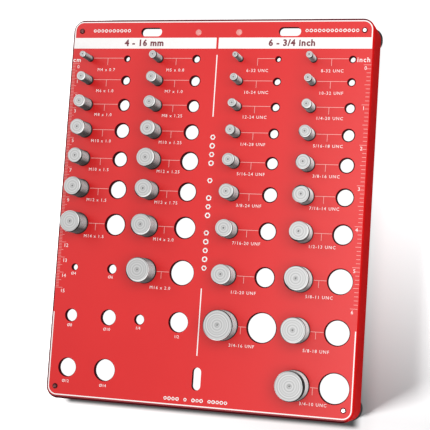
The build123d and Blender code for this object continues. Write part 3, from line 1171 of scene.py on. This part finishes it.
# %% [markdown]
# ### Rows of small signs
#
# Down the middle, in the header and under the lower slot stand rows of small signs, in turn a
# hexagon for a nut and a circle for a bolt. A vertex marks each place, and a tree sets a ring on
# it: a flat profile swept along a six-sided or a round curve.
# %% Sign tree
sign_inputs = (
    ("Geometry", "NodeSocketGeometry"),
    ("Size", "NodeSocketFloat"),
    ("Line Width", "NodeSocketFloat"),
    ("Thickness", "NodeSocketFloat"),
    ("Finish", "NodeSocketMaterial"),
)
tree, given, sign_sockets = new_geometry_tree("sign_row", sign_inputs)
profile = add_node(tree, "GeometryNodeCurvePrimitiveQuadrilateral", given["Line Width"],
                   given["Thickness"])
ring_size = calc(tree, "MULTIPLY", calc(tree, "SUBTRACT", given["Size"], given["Line Width"]), 0.5)
rings = tree.nodes.new("GeometryNodeJoinGeometry")
for corners in (20, 6):
    outline = add_node(tree, "GeometryNodeCurvePrimitiveCircle", corners)
    feed(tree, outline.inputs["Radius"], ring_size)
    swept = add_node(tree, "GeometryNodeCurveToMesh", outline.outputs[0], profile.outputs[0])
    instance = add_node(tree, "GeometryNodeGeometryToInstance", swept.outputs[0])
    tree.links.new(instance.outputs[0], rings.inputs[0])
index = tree.nodes.new("GeometryNodeInputIndex").outputs[0]
signs = add_node(tree, "GeometryNodeInstanceOnPoints", given["Geometry"])
feed(tree, signs.inputs["Instance"], rings.outputs[0])
signs.inputs["Pick Instance"].default_value = True
feed(tree, signs.inputs["Instance Index"], calc(tree, "FLOORED_MODULO", index, 2.0))
finish_geometry(tree, signs.outputs[0], given["Finish"])
sign_tree = tree
print(sign_tree.name, "has", len(tree.nodes), "nodes")

# %% [markdown]
# ### Rows of signs in place
#
# The rows are lists of places on the panel, from its left edge and from its top edge. A gap in the
# counting leaves a gap in the row.
# %% Print the signs


def print_signs(name, places, size, line_width):
    """Set a ring on each place of a row."""
    builder = bmesh.new()
    for right, down in places:
        builder.verts.new(on_panel(right, down) + Vector((0, 0, ink_thickness / 2)))
    piece = place_object(name, mesh_from(builder, name))
    grow(piece, sign_tree, sign_sockets, {
        "Size": size * mm, "Line Width": line_width * mm, "Thickness": ink_thickness,
        "Finish": white_ink,
    })
    tidy_mesh(piece.data)
    carry(piece, "panel_red")
    print(name, "has", len(places), "signs")


filled = (0, 1, 2, 3, 5, 7, 8, 9, 11, 12, 13, 14, 15)
column_places = [(102.6, 77.6 + 5.63 * k) for k in filled]
foot_places = [(82.6 + 2.66 * k, 245.9) for k in filled]
left_places = [(15.7 + 2.7 * k, 7.5) for k in range(10)]
right_places = [(160.3 + 2.7 * k, 7.8) for k in range(13)]
print_signs("middle_signs", column_places, 3.7, 0.85)
print_signs("foot_signs", foot_places, 2.4, 0.6)
print_signs("header_signs", left_places + right_places, 2.3, 0.55)

# %% [markdown]
# ## The table and the light through the holes
#
# The panel lies on a white table. The table keeps the object's shadow, and a little light of its
# own, which only the camera and reflections see, lifts it to white. The lift grows towards the
# panel's top, where the picture has no shadow. Just below the panel's lower edge the shadow is at
# its darkest, and a soft dark seam in the table's colour deepens it there.
# %% Table


def is_seen(tree):
    """1 for rays from the camera, from reflections and through glass, else 0."""
    path = tree.nodes.new("ShaderNodeLightPath").outputs
    seen = calc(tree, "MAXIMUM", path["Is Camera Ray"], path["Is Glossy Ray"])
    return calc(tree, "MAXIMUM", seen, path["Is Transmission Ray"])


def plane(name, width, height, z):
    """A flat rectangle round the origin."""
    builder = bmesh.new()
    stretch = Matrix.Translation((0, 0, z)) @ Matrix.Diagonal((width, height, 1, 1))
    bmesh.ops.create_grid(builder, x_segments=1, y_segments=1, size=0.5, matrix=stretch)
    piece = place_object(name, mesh_from(builder, name))
    return piece


table_white, tree, shader, place = new_finish("table_white", 0.8)
axes = split(tree, place)
lift = ramp(tree, axes["Y"], -125 * mm, 20 * mm, 0.03, 0.88)
shade = noise(tree, place, 60 * mm)
table_color = blend_colors(tree, shade, gray(0.59), gray(0.61))
below_edge = ramp(tree, axes["Y"], panel_low.y - 2.7 * mm, panel_low.y - 6.5 * mm, 1.0, 0.0,
                  interpolation_type="SMOOTHSTEP")
from_middle = calc(tree, "ABSOLUTE", axes["X"])
beside = ramp(tree, from_middle, panel_high.x - 6 * mm, panel_high.x + 1 * mm, 1.0, 0.0,
              interpolation_type="SMOOTHSTEP")
below_middle = calc(tree, "LESS_THAN", axes["Y"], 0.0)
seam = calc(tree, "MULTIPLY", calc(tree, "MULTIPLY", below_edge, beside), below_middle)
feed(tree, shader.inputs["Base Color"], blend_colors(tree, seam, table_color, gray(0.03)))
shader.inputs["Specular IOR Level"].default_value = 0.0
shader.inputs["Emission Color"].default_value = (1, 1, 1, 1)
feed(tree, shader.inputs["Emission Strength"], calc(tree, "MULTIPLY", is_seen(tree), lift))
table = plane("table", 8.0, 8.0, 0.0)
table.data.materials.append(table_white)
print(table.name, "is a stage piece")

# %% [markdown]
# Behind the panel's holes the same white shows, so a lit sheet lies inside the box, out of sight
# from every side.
# %% Sheet behind the holes
lit_sheet, tree, shader, place = new_finish("lit_sheet", 1.0)
shader.inputs["Base Color"].default_value = (0, 0, 0, 1)
shader.inputs["Specular IOR Level"].default_value = 0.0
shader.inputs["Emission Color"].default_value = (1, 1, 1, 1)
feed(tree, shader.inputs["Emission Strength"], calc(tree, "MULTIPLY", is_seen(tree), 1.05))
sheet = plane("sheet_behind_holes", 197 * mm, 246 * mm, 25 * mm)
sheet.data.materials.append(lit_sheet)
print(sheet.name, "is a stage piece")

# %% [markdown]
# ## Light
#
# A soft studio: a grey-white room and five square lamps. Together they light a surface at about
# the level at which its colour renders as it is written.
# %% Room and lamp helper
scene = bpy.context.scene
world = bpy.data.worlds.new("studio")
scene.world = world
world.use_nodes = True
tree = world.node_tree
background = tree.nodes["Background"]
feed(tree, background.inputs["Color"],
     blend_colors(tree, is_seen(tree), (0.42, 0.42, 0.43, 1), (1.0, 1.0, 1.0, 1)))


def lamp(name, place, target, size, power, lights):
    """A square lamp that points at a target and lights the objects of one collection."""
    light = bpy.data.lights.new(name, "AREA")
    light.size = size
    light.energy = power
    piece = bpy.data.objects.new(name, light)
    scene.collection.objects.link(piece)
    piece.location = place
    piece.rotation_euler = (Vector(target) - Vector(place)).to_track_quat("-Z", "Y").to_euler()
    piece.light_linking.receiver_collection = lights


print("room", world.name, "is grey-white")

# %% [markdown]
# Light linking gives every lamp its own things to light. Two lamps are for the table alone and
# shape the shadow on it. A large one on the left is for all the rest. A broad one overhead leaves
# out the studs, and its reflection lies on the right half of the paint. A small one is for the
# studs alone.
# %% Lamps and what each one lights
only_table = bpy.data.collections.new("only_table")
all_but_table = bpy.data.collections.new("all_but_table")
only_panel = bpy.data.collections.new("all_but_table_and_studs")
only_studs = bpy.data.collections.new("only_studs")
studs = [bpy.data.objects["threaded_stud_" + gauge[0]] for gauge in gauges]
for collection, members, state in (
    (only_table, [table], "INCLUDE"),
    (all_but_table, [table], "EXCLUDE"),
    (only_panel, [table, *studs], "EXCLUDE"),
    (only_studs, studs, "INCLUDE"),
):
    for member in members:
        collection.objects.link(member)
    for entry in collection.collection_objects:
        entry.light_linking.link_state = state

lamp("low_lamp", (-0.76, -0.53, 0.65), (0.05, -0.05, 0.0), 0.30, 27.0, only_table)
lamp("high_lamp", (-0.10, 0.35, 1.0), (0.0, 0.0, 0.0), 0.25, 1.6, only_table)
lamp("left_lamp", (-0.75, 0.35, 0.75), (0.0, -0.02, 0.0), 0.5, 2.1, all_but_table)
lamp("overhead_lamp", (0.24, 0.0, 0.55), (0.16, 0.0, 0.0), 0.5, 2.5, only_panel)
lamp("stud_lamp", (0.12, -0.03, 0.6), (0.10, 0.0, 0.0), 0.30, 0.45, only_studs)
print(len(bpy.data.lights), "lamps")

# %% [markdown]
# ## Camera
#
# The camera stands to the right of the panel and looks down on it. Its place and turn were fitted
# to the rulers, the rows of holes and the panel's outline.
# %% Camera
camera_data = bpy.data.cameras.new("camera")
camera_data.lens = 99.35
camera_data.sensor_width = 36.0
camera = bpy.data.objects.new("camera", camera_data)
scene.collection.objects.link(camera)
camera_right = Vector((0.95881, 0.06635, -0.27619))
camera_up = Vector((-0.03966, 0.99408, 0.10111))
camera_back = camera_right.cross(camera_up)
camera_turn = Matrix((camera_right, camera_up, camera_back)).transposed()
camera_place = Matrix.Translation((0.21900, -0.06700, 0.75574))
camera.matrix_world = camera_place @ camera_turn.to_4x4()
scene.camera = camera
scene.view_settings.view_transform = "Standard"
print("camera at", [round(value, 3) for value in camera.location])
